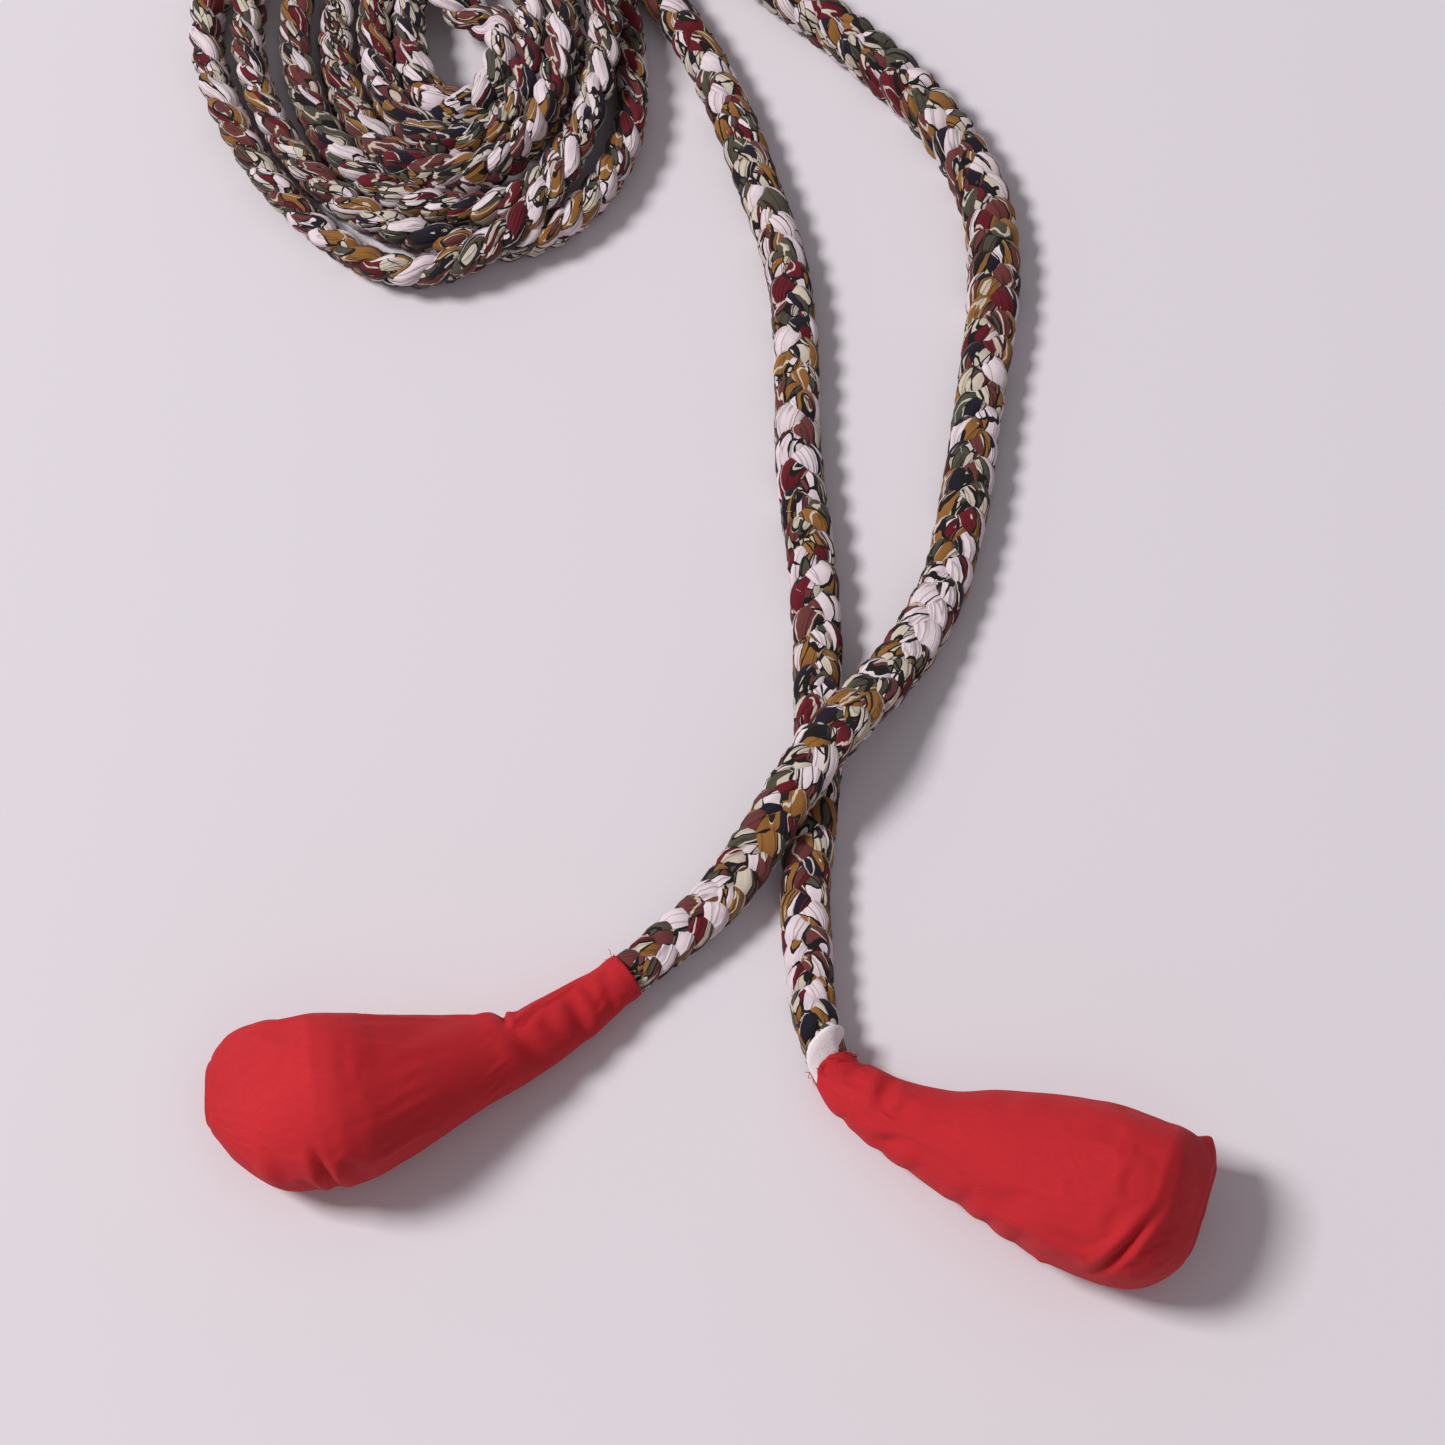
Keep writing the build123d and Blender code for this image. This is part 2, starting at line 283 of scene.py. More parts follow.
# The first patch is plain, the second holds small marks, and the others have a core. Patches
# are 6 mm across and marks 2 mm. Line widths and the core's radius are shares of those.
printLook = {
    # each patch's colour, its share of the cloth and the colour of its core
    "patches": [("white", 0.22, "white"), ("cream", 0.33, "cream"), ("ochre", 0.12, "rust"),
                ("darkRed", 0.1, "navy"), ("rust", 0.11, "cream"), ("olive", 0.06, "cream"),
                ("navy", 0.06, "darkRed")],
    # the marks' colours, and where each begins between 0 and 1
    "marks": [(0, "cream"), (0.36, "olive"), (0.53, "white"), (0.68, "rust"), (0.78, "ochre"),
              (0.86, "navy"), (0.93, "darkRed")],
    "patchesPerMetre": 150.0, "marksPerMetre": 480.0, "coreRadius": 0.27, "arcs": 21.0,
    "thinLine": 0.006, "thickLine": 0.046, "coreLine": 0.028, "pleatShift": 0.4,
    "drawnOut": (0.68, 1.1, 1.1), "wander": 0.006, "wandersPerMetre": 170.0,
    "penPerMetre": 480.0, "napPerMetre": 1100.0, "creasesPerMetre": (70, 520, 520),
    # crease depth and width shape the bump; the next two numbers are the width and the strength of
    # the painted shade along each crease's core
    "creaseDepth": 0.5, "creaseWidth": 0.05, "paintedShadeWidth": 0.018, "paintedCreaseShade": 0.5,
    "markLine": 1.9, "arcWander": 5.0, "fade": (0.84, 1.12), "napHeight": 0.25,
}


def setStops(node, stops):
    # constant colour steps in a ramp, as (position, colour) pairs
    ramp = node.color_ramp
    ramp.interpolation = "CONSTANT"
    ramp.elements.remove(ramp.elements[1])
    ramp.elements[0].color = stops[0][1]
    for at, colour in stops[1:]:
        ramp.elements.new(at).color = colour


def printPlace(tree, rod, pleats, look):
    # each pleat of the rolled strip shows another part of the print, and the strip is
    # pulled, so the print is drawn out along it
    turn = addNode(tree, "ShaderNodeAttribute", attribute_name="turn").outputs["Fac"]
    parts = addNode(tree, "ShaderNodeSeparateXYZ", {0: rod})
    around = addNode(tree, "ShaderNodeMath", {0: parts.outputs[2], 1: parts.outputs[1]},
                     operation="ARCTAN2")
    turned = addNode(tree, "ShaderNodeMath", {0: around, 1: turn}, operation="ADD")
    counted = addNode(tree, "ShaderNodeMath", {0: turned, 1: pleats / math.tau},
                      operation="MULTIPLY")
    whole = addNode(tree, "ShaderNodeMath", {0: counted}, operation="FLOOR")
    pleat = addNode(tree, "ShaderNodeMath", {0: whole, 1: pleats}, operation="FLOORED_MODULO")
    chance = addNode(tree, "ShaderNodeTexWhiteNoise", {"W": pleat}, noise_dimensions="1D")
    shift = addNode(tree, "ShaderNodeVectorMath", {
        0: chance.outputs["Color"], "Scale": look["pleatShift"]}, operation="SCALE")
    return addNode(tree, "ShaderNodeVectorMath", {0: rod, 1: look["drawnOut"], 2: shift},
                   operation="MULTIPLY_ADD")


def cells(tree, place, perMetre):
    # how far a point is from its cell's middle, a random number for the cell, and how far
    # it is from the cell's edge
    values = {"Vector": place, "Scale": perMetre}
    cell = addNode(tree, "ShaderNodeTexVoronoi", values)
    edge = addNode(tree, "ShaderNodeTexVoronoi", values, feature="DISTANCE_TO_EDGE")
    pick = addNode(tree, "ShaderNodeSeparateColor", {0: cell.outputs["Color"]})
    return cell.outputs["Distance"], pick.outputs[0], edge.outputs[0]


def makePrintedCotton(colours, look, pleats):
    # cotton cambric with a crowded print: soft, matt, with a fine nap, and dark drawn
    # outlines round flat patches of colour. "rod" is each strand as if pulled straight.
    material, tree = newMaterial("printed cotton cambric")
    rod = addNode(tree, "ShaderNodeAttribute", attribute_name="rod").outputs["Vector"]
    place = printPlace(tree, rod, pleats, look)
    shaky = addNode(tree, "ShaderNodeTexNoise", {
        "Vector": place, "Scale": look["wandersPerMetre"], "Detail": 1.5})
    centred = addNode(tree, "ShaderNodeVectorMath", {
        0: shaky.outputs["Color"], 1: (0.5, 0.5, 0.5)}, operation="SUBTRACT")
    drawn = addNode(tree, "ShaderNodeVectorMath", {
        0: centred, 1: (look["wander"],) * 3, 2: place}, operation="MULTIPLY_ADD")
    fromMiddle, pick, patchEdge = cells(tree, drawn, look["patchesPerMetre"])
    ground = addNode(tree, "ShaderNodeValToRGB", {0: pick})
    core = addNode(tree, "ShaderNodeValToRGB", {0: pick})
    at, groundStops, coreStops = 0, [], []
    for name, share, coreName in look["patches"]:
        groundStops.append((at, linear(colours[name])))
        coreStops.append((at, linear(colours[coreName])))
        at += share
    setStops(ground, groundStops)
    setStops(core, coreStops)
    plainShare, markedShare = (patch[1] for patch in look["patches"][:2])
    isPlain = addNode(tree, "ShaderNodeMath", {0: pick, 1: plainShare}, operation="LESS_THAN")
    hasCore = addNode(tree, "ShaderNodeMath", {0: pick, 1: plainShare + markedShare},
                      operation="GREATER_THAN")
    notMarked = addNode(tree, "ShaderNodeMath", {0: isPlain, 1: hasCore}, operation="ADD")
    isMarked = addNode(tree, "ShaderNodeMath", {0: 1.0, 1: notMarked}, operation="SUBTRACT")
    inCore = addNode(tree, "ShaderNodeMath", {0: fromMiddle, 1: look["coreRadius"]},
                     operation="LESS_THAN")
    cored = addNode(tree, "ShaderNodeMath", {0: inCore, 1: hasCore}, operation="MULTIPLY")
    patch = addNode(tree, "ShaderNodeMix", {0: cored, 6: ground, 7: core}, data_type="RGBA")
    # small marks on the cream patches
    _, markPick, markEdge = cells(tree, drawn, look["marksPerMetre"])
    mark = addNode(tree, "ShaderNodeValToRGB", {0: markPick})
    setStops(mark, [(at, linear(colours[name])) for at, name in look["marks"]])
    marked = addNode(tree, "ShaderNodeMix", {0: isMarked, 6: patch.outputs[2], 7: mark},
                     data_type="RGBA")
    # the drawn lines: round each patch and mark, round the cores, and arcs that echo them
    pen = addNode(tree, "ShaderNodeTexNoise", {"Vector": place, "Scale": look["penPerMetre"]})
    penWidth = addNode(tree, "ShaderNodeMapRange", {
        0: pen, 1: 0.3, 2: 0.7, 3: look["thinLine"], 4: look["thickLine"]})
    markPen = addNode(tree, "ShaderNodeMath", {0: penWidth, 1: look["markLine"]},
                      operation="MULTIPLY")
    outer = addNode(tree, "ShaderNodeMath", {0: patchEdge, 1: penWidth}, operation="LESS_THAN")
    inner = addNode(tree, "ShaderNodeMath", {0: markEdge, 1: markPen}, operation="LESS_THAN")
    innerLine = addNode(tree, "ShaderNodeMath", {0: inner, 1: isMarked}, operation="MULTIPLY")
    fromCore = addNode(tree, "ShaderNodeMath", {0: fromMiddle, 1: look["coreRadius"]},
                       operation="SUBTRACT")
    coreGap = addNode(tree, "ShaderNodeMath", {0: fromCore}, operation="ABSOLUTE")
    onCore = addNode(tree, "ShaderNodeMath", {0: coreGap, 1: look["coreLine"]},
                     operation="LESS_THAN")
    coreLine = addNode(tree, "ShaderNodeMath", {0: onCore, 1: hasCore}, operation="MULTIPLY")
    lines = addNode(tree, "ShaderNodeMath", {0: outer, 1: innerLine}, operation="MAXIMUM")
    lines = addNode(tree, "ShaderNodeMath", {0: lines, 1: coreLine}, operation="MAXIMUM")
    arcs = addNode(tree, "ShaderNodeMath", {0: fromMiddle, 1: look["arcs"]},
                   operation="MULTIPLY")
    shakyArcs = addNode(tree, "ShaderNodeMath", {0: pen, 1: look["arcWander"], 2: arcs},
                        operation="MULTIPLY_ADD")
    arcWave = addNode(tree, "ShaderNodeMath", {0: shakyArcs}, operation="SINE")
    arcTop = addNode(tree, "ShaderNodeMath", {0: arcWave, 1: 0.9}, operation="GREATER_THAN")
    paleArc = addNode(tree, "ShaderNodeMath", {0: arcTop, 1: hasCore}, operation="MULTIPLY")
    withArcs = addNode(tree, "ShaderNodeMix", {
        0: paleArc, 6: marked.outputs[2], 7: linear(colours["cream"])}, data_type="RGBA")
    outlined = addNode(tree, "ShaderNodeMix", {
        0: lines, 6: withArcs.outputs[2], 7: linear(colours["outline"])}, data_type="RGBA")
    # the dye is a little uneven, and the nap catches the light
    nap = addNode(tree, "ShaderNodeTexNoise", {"Vector": rod, "Scale": look["napPerMetre"]})
    fade = addNode(tree, "ShaderNodeMapRange", {
        0: nap, 3: look["fade"][0], 4: look["fade"][1]})
    faded = addNode(tree, "ShaderNodeVectorMath", {0: outlined.outputs[2], "Scale": fade},
                    operation="SCALE")
    # sharp little creases run along the rolled strip, 2 mm apart: a bump, and painted shade that
    # darkens each crease's core
    creasePlace = addNode(tree, "ShaderNodeVectorMath", {0: rod, 1: look["creasesPerMetre"]},
                          operation="MULTIPLY")
    creases = addNode(tree, "ShaderNodeTexNoise", {
        "Vector": creasePlace, "Scale": 1.0, "Detail": 1.0})
    offMiddle = addNode(tree, "ShaderNodeMath", {0: creases, 1: 0.5}, operation="SUBTRACT")
    creaseGap = addNode(tree, "ShaderNodeMath", {0: offMiddle}, operation="ABSOLUTE")
    openness = addNode(tree, "ShaderNodeMapRange", {0: creaseGap, 2: look["creaseWidth"]})
    # painted shade: the colour is darkened to half in each crease's core, as if in shadow
    dark = addNode(tree, "ShaderNodeMapRange", {
        0: creaseGap, 2: look["paintedShadeWidth"], 3: look["paintedCreaseShade"]})
    shaded = addNode(tree, "ShaderNodeVectorMath", {0: faded, "Scale": dark}, operation="SCALE")
    relief = addNode(tree, "ShaderNodeMath", {0: nap, 1: look["napHeight"], 2: openness},
                     operation="MULTIPLY_ADD")
    bump = addNode(tree, "ShaderNodeBump", {
        "Strength": 0.6, "Distance": look["creaseDepth"] * mm, "Height": relief})
    shader = addNode(tree, "ShaderNodeBsdfPrincipled", {
        "Base Color": shaded, "Roughness": 0.85, "Specular IOR Level": 0.25,
        "Sheen Weight": 0.12, "Sheen Roughness": 0.5, "Normal": bump})
    addNode(tree, "ShaderNodeOutputMaterial", {"Surface": shader})
    return material


redCottonLook = {
    "colour": "#c4262d", "shade": "#b01d26", "threadSpacing": 0.55, "weaveDepth": 0.09,
    "slubHeight": 0.45, "slubsPerMetre": 260.0, "washPerMetre": 45.0, "sheen": 0.08,
    "sheenTint": (1, 0.4, 0.4, 1),
}


def makeRedCotton(look):
    # dyed plain-weave poplin, washed: matt, a faint sheen along folds, slubs in the thread.
    # Real poplin has 0.25 mm threads. They are drawn coarser here so that they show.
    material, tree = newMaterial("red cotton poplin")
    place = addNode(tree, "ShaderNodeAttribute", attribute_name="cloth").outputs["Vector"]
    perThread = math.tau / (look["threadSpacing"] * mm)
    threads = addNode(tree, "ShaderNodeVectorMath", {0: place, 1: (perThread, perThread, 0)},
                      operation="MULTIPLY")
    axes = addNode(tree, "ShaderNodeSeparateXYZ", {0: threads})
    warp, weft = (addNode(tree, "ShaderNodeMath", {0: axes.outputs[i]}, operation="SINE")
                  for i in (0, 1))
    weave = addNode(tree, "ShaderNodeMath", {0: warp, 1: weft}, operation="MULTIPLY")
    slubPlace = addNode(tree, "ShaderNodeVectorMath", {0: place, 1: (1, 7, 1)},
                        operation="MULTIPLY")
    slubs = addNode(tree, "ShaderNodeTexNoise", {
        "Vector": slubPlace, "Scale": look["slubsPerMetre"], "Detail": 3.0})
    washPlace = addNode(tree, "ShaderNodeTexCoord").outputs["Object"]
    wash = addNode(tree, "ShaderNodeTexNoise", {
        "Vector": washPlace, "Scale": look["washPerMetre"], "Detail": 4.0})
    uneven = addNode(tree, "ShaderNodeMath", {0: slubs, 1: wash}, operation="MULTIPLY")
    tone = addNode(tree, "ShaderNodeMapRange", {0: uneven, 1: -0.1, 2: 0.5})
    colour = addNode(tree, "ShaderNodeMix", {
        0: tone, 6: linear(look["shade"]), 7: linear(look["colour"])}, data_type="RGBA")
    relief = addNode(tree, "ShaderNodeMath", {0: slubs, 1: look["slubHeight"], 2: weave},
                     operation="MULTIPLY_ADD")
    bump = addNode(tree, "ShaderNodeBump", {
        "Strength": 0.6, "Distance": look["weaveDepth"] * mm, "Height": relief})
    shader = addNode(tree, "ShaderNodeBsdfPrincipled", {
        "Base Color": colour.outputs[2], "Roughness": 0.8, "Specular IOR Level": 0.2,
        "Sheen Weight": look["sheen"], "Sheen Roughness": 0.35,
        "Sheen Tint": look["sheenTint"], "Normal": bump})
    addNode(tree, "ShaderNodeOutputMaterial", {"Surface": shader})
    return material


def makePlainFibre(name, colour, roughness, scale):
    # spun fibre: matt, with fine streaks that break up the light
    material, tree = newMaterial(name)
    place = addNode(tree, "ShaderNodeTexCoord").outputs["Object"]
    streaks = addNode(tree, "ShaderNodeTexNoise", {
        "Vector": place, "Scale": scale, "Detail": 3.0})
    tone = addNode(tree, "ShaderNodeMapRange", {0: streaks, 3: 0.75, 4: 1.15})
    streaked = addNode(tree, "ShaderNodeVectorMath", {0: linear(colour)[:3], "Scale": tone},
                       operation="SCALE")
    bump = addNode(tree, "ShaderNodeBump", {
        "Strength": 0.5, "Distance": 0.2 * mm, "Height": streaks})
    shader = addNode(tree, "ShaderNodeBsdfPrincipled", {
        "Base Color": streaked, "Roughness": roughness, "Specular IOR Level": 0.3,
        "Normal": bump})
    addNode(tree, "ShaderNodeOutputMaterial", {"Surface": shader})
    return material


printedCotton = makePrintedCotton(printColours, printLook, pleatCount)
redCotton = makeRedCotton(redCottonLook)
redThread = makePlainFibre("red sewing thread", "#b3202c", 0.7, 2500.0)
wadding = makePlainFibre("polyester wadding", "#eeece6", 0.95, 700.0)
paleCotton = makePlainFibre("undyed cotton fibre", "#f0e4e7", 0.9, 1500.0)
print("materials made")

plaitLook = {
    # how wide the plait is at shares of its length, in mm
    "widthAt": [(0, 12.5), (0.012, 14.8), (0.05, 15.2), (0.12, 13), (0.16, 13.2), (0.78, 13.2),
                (0.84, 14.8), (0.88, 16.6), (0.93, 15.3), (0.985, 15.8), (1, 12.8)],
    # how far it is turned over, in degrees: on its edge in the coil, upside down after it
    "rollAt": [(0, 0), (0.07, 5), (0.13, 30), (0.17, 65), (0.5, 90), (0.78, 120), (0.83, 165),
               (0.86, 180), (1, 180)],
    # the length in which a strand comes back to the same place, in widths
    "repeatAt": [(0, 1.78), (0.12, 1.95), (0.8, 1.95), (0.87, 1.45), (1, 1.45)],
    # how far the width, the repeat and the turn wander, and how often in a metre
    "widthWander": (0.05, 22), "repeatWander": (0.25, 14), "rollWander": (0.2, 9),
    "ringStep": 1.0, "seed": 4,
}
strandLook = {
    # as shares of the plait's width: how far a strand swings aside and up, and its own half
    # width and half height
    "swing": 0.2, "rise": 0.15, "halfWidth": 0.3, "halfHeight": 0.24, "twist": 40.0,
    "pleatDepth": 0.125, "depthWander": (2.2, 70), "turnWander": (2.5, 30), "sides": 34,
    "rodRadius": 3.6,
}


def alongPath(table, shares):
    return np.interp(shares, *zip(*table))


def wander(stations, size, perMetre, seed):
    return size * np.array([noise.noise((s * perMetre, seed, 0.5)) for s in stations])


def plaitLine(line, look):
    # the plait's middle line at even steps, with its width, phase and directions
    steps = np.linalg.norm(np.diff(line, axis=0), axis=1)
    distance = np.concatenate([[0], np.cumsum(steps)])
    count = int(distance[-1] / (look["ringStep"] * mm))
    stations = np.linspace(0, distance[-1], count)
    shares = stations / distance[-1]
    places = np.stack([np.interp(stations, distance, line[:, i]) for i in range(3)], axis=1)
    seed = look["seed"]
    width = alongPath(look["widthAt"], shares) * mm
    width *= 1 + wander(stations, *look["widthWander"], seed)
    repeats = alongPath(look["repeatAt"], shares)
    repeats *= 1 + wander(stations, *look["repeatWander"], seed + 5)
    phase = np.cumsum(np.gradient(stations) / (width * repeats)) * math.tau
    roll = np.radians(alongPath(look["rollAt"], shares))
    roll += wander(stations, *look["rollWander"], seed + 9)
    ahead = unit(np.gradient(places, axis=0))
    level = unit(np.cross(ahead, (0, 0, 1)))
    upright = np.cross(level, ahead)
    cosine, sine = np.cos(roll)[:, None], np.sin(roll)[:, None]
    return {"stations": stations, "places": places, "width": width, "phase": phase,
            "across": cosine * level + sine * upright, "up": cosine * upright - sine * level}


def strandPath(name, plait, number, strip, seed):
    # one strand's middle line: on top it crosses from an edge to the middle, and underneath
    # it goes out to the other edge. Its attributes say how far it reaches round that line.
    angle = plait["phase"] + math.tau * number / 3
    crossing = np.sin(2 * angle)
    width = plait["width"]
    centre = (plait["places"]
              + plait["across"] * (np.sin(angle) * width * strip["swing"])[:, None]
              - plait["up"] * (crossing * width * strip["rise"])[:, None])
    ahead = unit(np.gradient(centre, axis=0))
    side = unit(np.cross(ahead, plait["up"]))
    top = np.cross(side, ahead)
    # a strand is widest and flattest where it lies over or under another
    reach = width * strip["halfWidth"] * (0.93 + 0.14 * np.abs(crossing))
    height = width * strip["halfHeight"] * (1.04 - 0.08 * np.abs(crossing))
    stations = plait["stations"]
    uneven = np.clip(0.9 + wander(stations, *strip["depthWander"], seed + 3 + number), 0.1, 2)
    path = lineObject(name, centre)
    storeVectors(path, "side", side * reach[:, None])
    storeVectors(path, "top", top * height[:, None])
    storeNumbers(path, "turn", strip["twist"] * stations
                 + wander(stations, *strip["turnWander"], seed + number))
    storeNumbers(path, "depth", strip["pleatDepth"] * uneven)
    # the strands take the print from places 5 m apart
    storeNumbers(path, "rodStart", stations + 5 * number)
    return path


def makeStrandTree():
    # sweeps a pleated, flattened round along a strand's path
    tree, source, result = newTree("rolled strip", [
        ("Sides", "Int"), ("Pleats", "Float"), ("Rod Radius", "Float"),
        ("Material", "Material")])
    given = source.outputs
    named = {}
    for name, kind in (("side", "FLOAT_VECTOR"), ("top", "FLOAT_VECTOR"), ("turn", "FLOAT"),
                       ("depth", "FLOAT"), ("rodStart", "FLOAT")):
        node = addNode(tree, "GeometryNodeInputNamedAttribute", {"Name": name}, data_type=kind)
        named[name] = node.outputs["Attribute"]
    line = addNode(tree, "GeometryNodeMeshToCurve", {0: given["Geometry"]})
    # the profile is tiny: it gives each vertex its angle, and the reach comes after the sweep
    circle = addNode(tree, "GeometryNodeCurvePrimitiveCircle", {
        "Resolution": given["Sides"], "Radius": 0.00001})
    index = addNode(tree, "GeometryNodeInputIndex")
    share = addNode(tree, "ShaderNodeMath", {0: index, 1: given["Sides"]}, operation="DIVIDE")
    angle = addNode(tree, "ShaderNodeMath", {0: share, 1: math.tau}, operation="MULTIPLY")
    profile = addNode(tree, "GeometryNodeCaptureAttribute", {0: circle})
    profile.capture_items.new("FLOAT", "around")
    tree.links.new(angle.outputs[0], profile.inputs[1])
    swept = addNode(tree, "GeometryNodeCurveToMesh", {
        "Curve": line, "Profile Curve": profile, "Fill Caps": True})
    around = profile.outputs[1]
    # broad pleats, and nine finer creases between them: a sine of half as many waves has
    # that many folds, and a power below one makes their valleys sharp
    creaseShare = 0.6
    turned = addNode(tree, "ShaderNodeMath", {0: around, 1: named["turn"]}, operation="ADD")
    folds = []
    for count, sharpness in ((given["Pleats"], 0.4), (9.0, 0.35)):
        waves = addNode(tree, "ShaderNodeMath", {0: count, 1: 0.5}, operation="MULTIPLY")
        turns = addNode(tree, "ShaderNodeMath", {0: turned, 1: waves}, operation="MULTIPLY")
        wave = addNode(tree, "ShaderNodeMath", {0: turns}, operation="SINE")
        size = addNode(tree, "ShaderNodeMath", {0: wave}, operation="ABSOLUTE")
        folds.append(addNode(tree, "ShaderNodeMath", {0: size, 1: sharpness},
                             operation="POWER"))
    both = addNode(tree, "ShaderNodeMath", {0: folds[1], 1: creaseShare, 2: folds[0]},
                   operation="MULTIPLY_ADD")
    valley = addNode(tree, "ShaderNodeMath", {0: 1 + creaseShare, 1: both},
                     operation="SUBTRACT")
    cut = addNode(tree, "ShaderNodeMath", {0: valley, 1: named["depth"]}, operation="MULTIPLY")
    relief = addNode(tree, "ShaderNodeMath", {0: 1.0, 1: cut}, operation="SUBTRACT")
    # a strip pressed by its neighbours is flatter than an ellipse: each direction's sine is
    # drawn out by its own size to the power of -0.22. The rod is what the print follows,
    # the strand as if pulled straight.
    flat, rodSides = [], []
    for name, operation in (("side", "COSINE"), ("top", "SINE")):
        wave = addNode(tree, "ShaderNodeMath", {0: around}, operation=operation)
        size = addNode(tree, "ShaderNodeMath", {0: wave}, operation="ABSOLUTE")
        size = addNode(tree, "ShaderNodeMath", {0: size, 1: 0.01}, operation="MAXIMUM")
        power = addNode(tree, "ShaderNodeMath", {0: size, 1: -0.22}, operation="POWER")
        drawnOut = addNode(tree, "ShaderNodeMath", {0: wave, 1: power}, operation="MULTIPLY")
        flat.append(addNode(tree, "ShaderNodeVectorMath", {
            0: named[name], "Scale": drawnOut}, operation="SCALE"))
        rodSides.append(addNode(tree, "ShaderNodeMath", {
            0: wave, 1: given["Rod Radius"]}, operation="MULTIPLY"))
    reach = addNode(tree, "ShaderNodeVectorMath", {0: flat[0], 1: flat[1]}, operation="ADD")
    offset = addNode(tree, "ShaderNodeVectorMath", {0: reach, "Scale": relief},
                     operation="SCALE")
    shaped = addNode(tree, "GeometryNodeSetPosition", {0: swept, "Offset": offset})
    rod = addNode(tree, "ShaderNodeCombineXYZ", {
        0: named["rodStart"], 1: rodSides[0], 2: rodSides[1]})
    stored = addNode(tree, "GeometryNodeStoreNamedAttribute", {
        0: shaped, "Name": "rod", "Value": rod}, data_type="FLOAT_VECTOR", domain="POINT")
    smooth = addNode(tree, "GeometryNodeSetShadeSmooth", {0: stored})
    real = addNode(tree, "GeometryNodeRealizeInstances", {0: smooth})
    coloured = addNode(tree, "GeometryNodeSetMaterial", {0: real, "Material": given["Material"]})
    tree.links.new(coloured.outputs[0], result.inputs[0])
    return tree


strandTree = makeStrandTree()


def sweepStrip(path, strip, material, body):
    runTree(path, strandTree, {
        "Sides": strip["sides"], "Pleats": float(pleatCount),
        "Rod Radius": strip["rodRadius"] * mm, "Material": material})
    for key in ("side", "top", "depth", "rodStart"):
        path.data.attributes.remove(path.data.attributes[key])
    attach(path, body)


def makeStrands(name, line, body, look, strip):
    plait = plaitLine(line, look)
    strands = []
    for number in range(3):
        strand = strandPath(f"{name}_{number + 1}", plait, number, strip, look["seed"])
        sweepStrip(strand, strip, printedCotton, body)
        strands.append(strand)
    return strands


strands = makeStrands("plait_strand", ropePath, "rope", plaitLook, strandLook)
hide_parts("rope_coil", "left_rope_run", "right_rope_run")
fuzz = newObject("plait_fuzz", strands[0].data.copy())
print("plait made,", [len(s.data.polygons) for s in strands], "faces")

